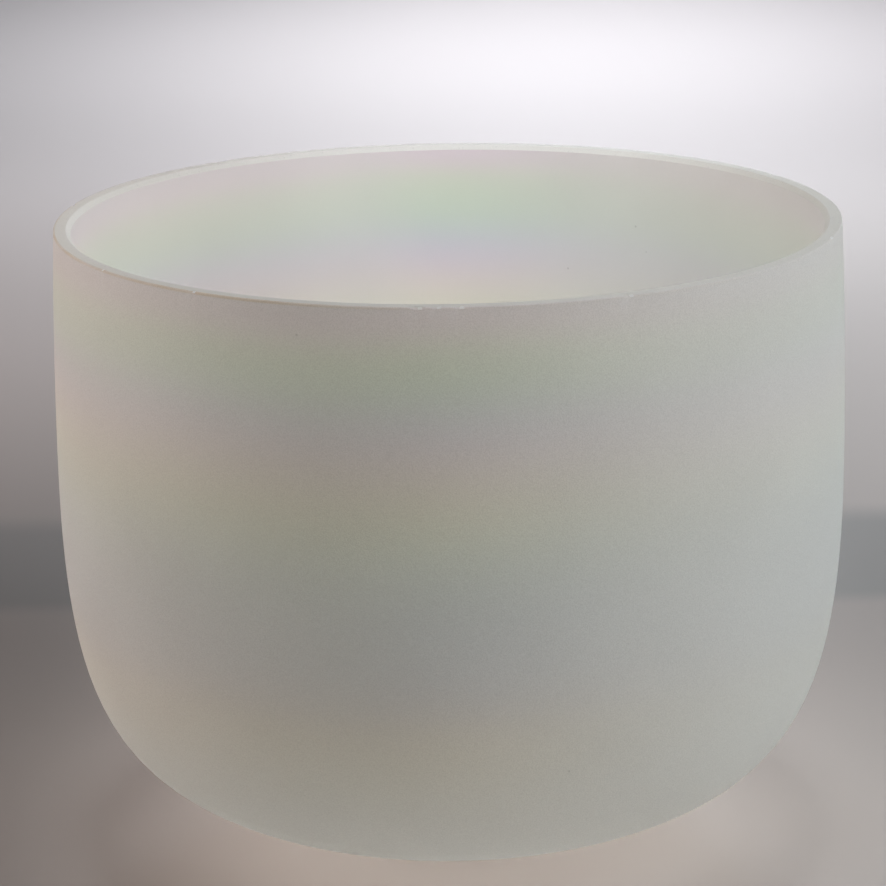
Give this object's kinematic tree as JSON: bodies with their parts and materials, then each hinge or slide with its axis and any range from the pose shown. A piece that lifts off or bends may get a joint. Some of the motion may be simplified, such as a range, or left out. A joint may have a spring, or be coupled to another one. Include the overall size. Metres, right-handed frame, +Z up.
{
  "type": "crystal singing bowl",
  "caption": "Deep frosted quartz bowl with a domed base and ground rim, standing on a soft ring; it rings when struck or rubbed round the rim.",
  "frame": {"origin": "centre of the seat ring's foot, on the surface that the ring stands on", "axes": "+Z up along the bowl's axis of revolution, out of the mouth; X and Y are alike, and +X is to the right of a viewer who looks along +Y"},
  "size_m": [0.2582, 0.2582, 0.2098],
  "materials": {
    "frosted_quartz": "frosted, translucent, with faint iridescent bands",
    "silicone": "matt, milky"
  },
  "bodies": {
    "seat": {"seat_ring": "silicone"},
    "bowl": {"bowl": "frosted_quartz"}
  },
  "joints": [
    {"name": "bowl_lift", "type": "slide", "parent": "seat", "child": "bowl", "axis": [0, 0, 1], "range_m": [0, 0.15]}
  ]
}
